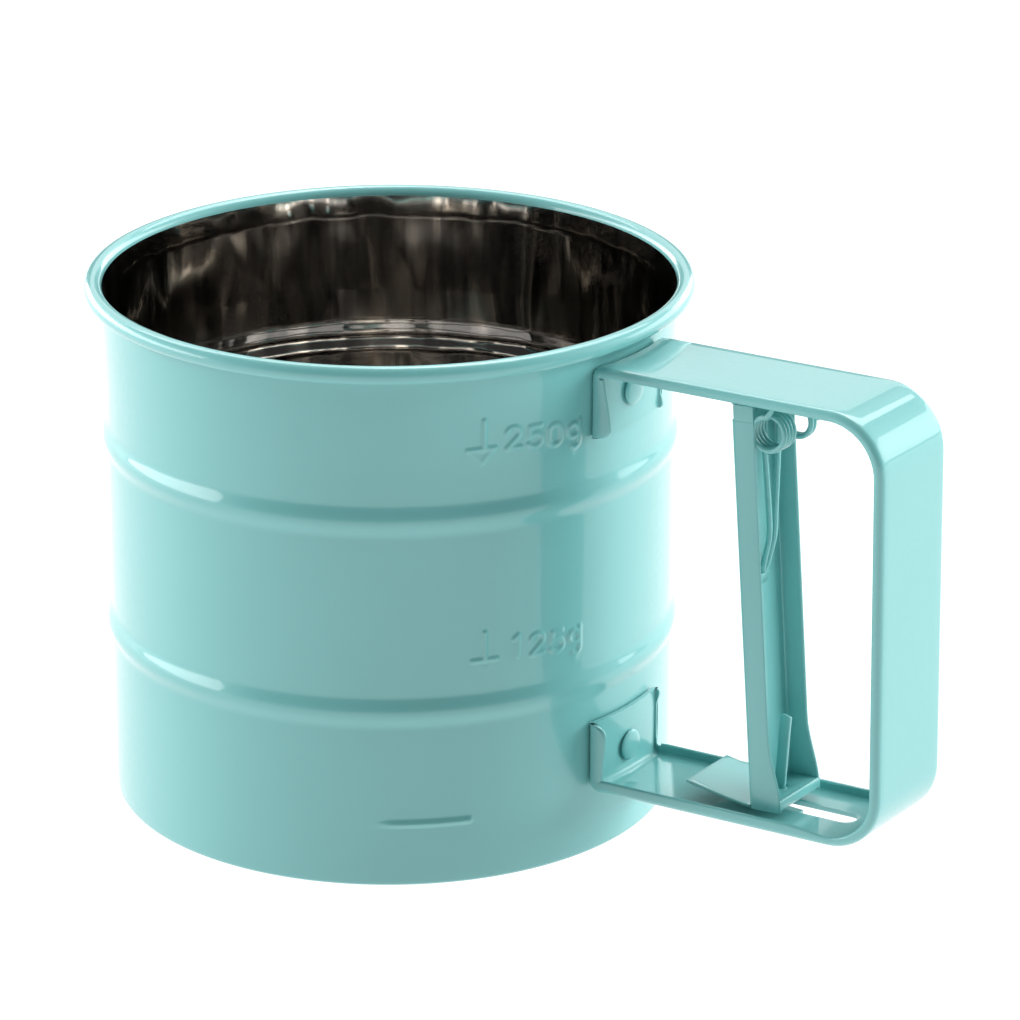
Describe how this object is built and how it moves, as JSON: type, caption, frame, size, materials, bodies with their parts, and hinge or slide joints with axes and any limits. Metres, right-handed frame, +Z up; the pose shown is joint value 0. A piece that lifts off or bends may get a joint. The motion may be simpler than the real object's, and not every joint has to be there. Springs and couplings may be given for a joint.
{
  "type": "flour sifter",
  "caption": "Straight-sided metal cup with a fine mesh base, a C-shaped handle and a squeeze trigger that swings a bladed agitator over the mesh through a pull strip.",
  "frame": {"origin": "middle of the footprint, on the resting plane", "axes": "+Z up along the cup's axis; +X from the cup towards the handle; +Y completes the frame, across the handle"},
  "size_m": [0.1612, 0.107, 0.0952],
  "materials": {
    "painted_sheet": "glossy pale blue-green enamel",
    "bright_steel": "bright rolled sheet",
    "zinc_steel": "zinc plated, satin"
  },
  "bodies": {
    "cup": {"cup_body": "painted_sheet", "screen_ring": "bright_steel", "mesh_screen": "bright_steel", "retaining_spider": "bright_steel", "pivot_rivet": "zinc_steel", "pivot_washer": "zinc_steel", "pivot_spacer": "zinc_steel", "handle_frame": "painted_sheet", "upper_tab_rivet": "painted_sheet", "upper_rivet_washer": "bright_steel", "lower_tab_rivet": "painted_sheet", "lower_rivet_washer": "bright_steel", "hinge_bracket": "painted_sheet", "hinge_pin": "zinc_steel", "return_spring": "painted_sheet"},
    "trigger": {"trigger_lever": "painted_sheet"},
    "strip": {"pull_strip": "painted_sheet"},
    "agitator": {"agitator_plate": "bright_steel", "drive_pin": "zinc_steel", "drive_pin_washer": "zinc_steel"}
  },
  "joints": [
    {"name": "trigger_pivot", "type": "hinge", "parent": "cup", "child": "trigger", "pos_m": [0.04918, 0, 0.0875], "axis": [0, -1, 0], "range_deg": [0, 9.5], "stiffness_Nm_per_rad": 0.6, "springref_deg": -20.05, "deforming": ["return_spring"]},
    {"name": "strip_slide", "type": "slide", "parent": "cup", "child": "strip", "axis": [1, 0, 0], "range_m": [0, 0.0115]},
    {"name": "agitator_turn", "type": "hinge", "parent": "cup", "child": "agitator", "pos_m": [-0.02717, 0, 0.005], "axis": [0, 0, -1], "range_deg": [0, 44.8]}
  ],
  "couplings": [
    {"joint": "strip_slide", "follows": "trigger_pivot", "m_per_rad": 0.06877},
    {"joint": "agitator_turn", "follows": "trigger_pivot", "ratio": 4.703}
  ]
}
